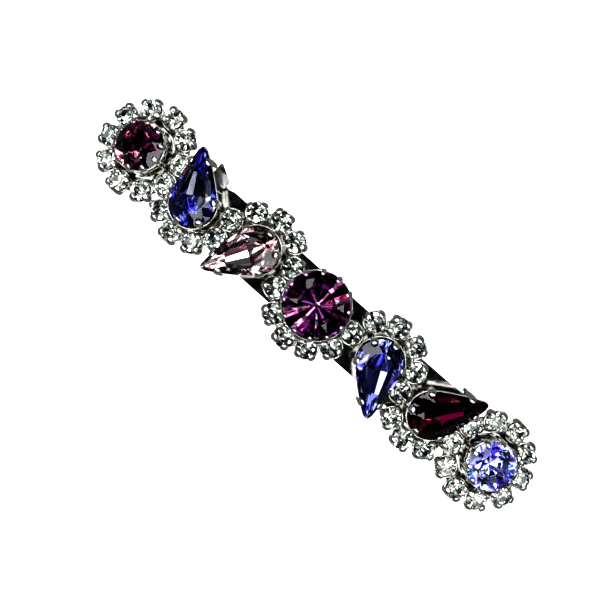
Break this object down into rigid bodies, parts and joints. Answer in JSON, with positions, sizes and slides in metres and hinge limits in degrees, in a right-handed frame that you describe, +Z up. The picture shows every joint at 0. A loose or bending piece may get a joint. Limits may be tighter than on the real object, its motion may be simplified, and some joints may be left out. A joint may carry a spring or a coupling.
{
  "type": "rhinestone hair clip",
  "caption": "Arched spring clip for hair: a hinged arm snaps onto a squeeze latch under a plate set with round and pear stones in claw settings and a winding row of small clear stones.",
  "frame": {"origin": "middle of the clasp arm's flat underside, which the closed clip rests on", "axes": "+X along the clip from its latch to its hinge, +Y across it, +Z up through the stones"},
  "size_m": [0.0891, 0.0179, 0.0176],
  "materials": {
    "nickel_plate": "bright nickel plating over stamped brass and steel, polished, with dark reflections",
    "spring_steel": "plated spring steel, smooth and a little duller than the nickel",
    "clear_glass": "foil-backed clear crystal, faceted",
    "plum_glass": "foil-backed plum crystal with crimson and magenta flashes",
    "sapphire_glass": "foil-backed deep blue crystal with pale streaks",
    "rose_glass": "foil-backed pale rose crystal",
    "amethyst_glass": "foil-backed dark purple crystal with violet-blue and magenta flashes",
    "garnet_glass": "foil-backed dark red crystal",
    "lavender_blue_glass": "foil-backed light violet-blue crystal"
  },
  "bodies": {
    "clip_top": {"top_plate": "nickel_plate", "latch_base": "spring_steel", "latch_rivet": "nickel_plate", "hinge_pin": "nickel_plate", "settings_left": "nickel_plate", "settings_right": "nickel_plate", "plum_round_stone": "plum_glass", "sapphire_pear_stone_left": "sapphire_glass", "rose_pear_stone": "rose_glass", "amethyst_round_stone": "amethyst_glass", "sapphire_pear_stone_right": "sapphire_glass", "garnet_pear_stone": "garnet_glass", "lavender_blue_round_stone": "lavender_blue_glass", "clear_stone_left_ring_1": "clear_glass", "clear_stone_left_ring_2": "clear_glass", "clear_stone_left_ring_3": "clear_glass", "clear_stone_left_ring_4": "clear_glass", "clear_stone_left_ring_5": "clear_glass", "clear_stone_left_ring_6": "clear_glass", "clear_stone_left_ring_7": "clear_glass", "clear_stone_left_ring_8": "clear_glass", "clear_stone_left_ring_9": "clear_glass", "clear_stone_left_ring_10": "clear_glass", "clear_stone_garland_a_1": "clear_glass", "clear_stone_garland_a_2": "clear_glass", "clear_stone_garland_a_3": "clear_glass", "clear_stone_garland_a_4": "clear_glass", "clear_stone_garland_a_5": "clear_glass", "clear_stone_garland_b_1": "clear_glass", "clear_stone_garland_b_2": "clear_glass", "clear_stone_garland_b_3": "clear_glass", "clear_stone_garland_b_4": "clear_glass", "clear_stone_garland_b_5": "clear_glass", "clear_stone_garland_c_1": "clear_glass", "clear_stone_garland_c_2": "clear_glass", "clear_stone_garland_c_3": "clear_glass", "clear_stone_garland_c_4": "clear_glass", "clear_stone_garland_c_5": "clear_glass", "clear_stone_garland_d_1": "clear_glass", "clear_stone_garland_d_2": "clear_glass", "clear_stone_garland_d_3": "clear_glass", "clear_stone_garland_d_4": "clear_glass", "clear_stone_garland_d_5": "clear_glass", "clear_stone_garland_e_1": "clear_glass", "clear_stone_garland_e_2": "clear_glass", "clear_stone_garland_e_3": "clear_glass", "clear_stone_right_ring_1": "clear_glass", "clear_stone_right_ring_2": "clear_glass", "clear_stone_right_ring_3": "clear_glass", "clear_stone_right_ring_4": "clear_glass", "clear_stone_right_ring_5": "clear_glass", "clear_stone_right_ring_6": "clear_glass", "clear_stone_right_ring_7": "clear_glass", "clear_stone_right_ring_8": "clear_glass", "clear_stone_right_ring_9": "clear_glass", "clear_stone_right_ring_10": "clear_glass"},
    "clasp_arm": {"clasp_arm": "nickel_plate"},
    "latch_wing_front": {"latch_wing_front": "spring_steel"},
    "latch_wing_rear": {"latch_wing_rear": "spring_steel"},
    "tension_bar": {"tension_bar": "spring_steel"}
  },
  "joints": [
    {"name": "arm_hinge", "type": "hinge", "parent": "clip_top", "child": "clasp_arm", "pos_m": [0.0276, 0, 0.0014], "axis": [0, -1, 0], "range_deg": [0, 95]},
    {"name": "front_wing_squeeze", "type": "hinge", "parent": "clip_top", "child": "latch_wing_front", "pos_m": [-0.0248, -0.0024, 0.0053], "axis": [1, 0, 0], "range_deg": [0, 9], "stiffness_Nm_per_rad": 0.03},
    {"name": "rear_wing_squeeze", "type": "hinge", "parent": "clip_top", "child": "latch_wing_rear", "pos_m": [-0.0248, 0.0024, 0.0053], "axis": [-1, 0, 0], "range_deg": [0, 9], "stiffness_Nm_per_rad": 0.03},
    {"name": "tension_bar_flex", "type": "hinge", "parent": "clip_top", "child": "tension_bar", "pos_m": [0.0265, 0, 0.0048], "axis": [0, 1, 0], "range_deg": [0, 2.2], "stiffness_Nm_per_rad": 0.5}
  ]
}
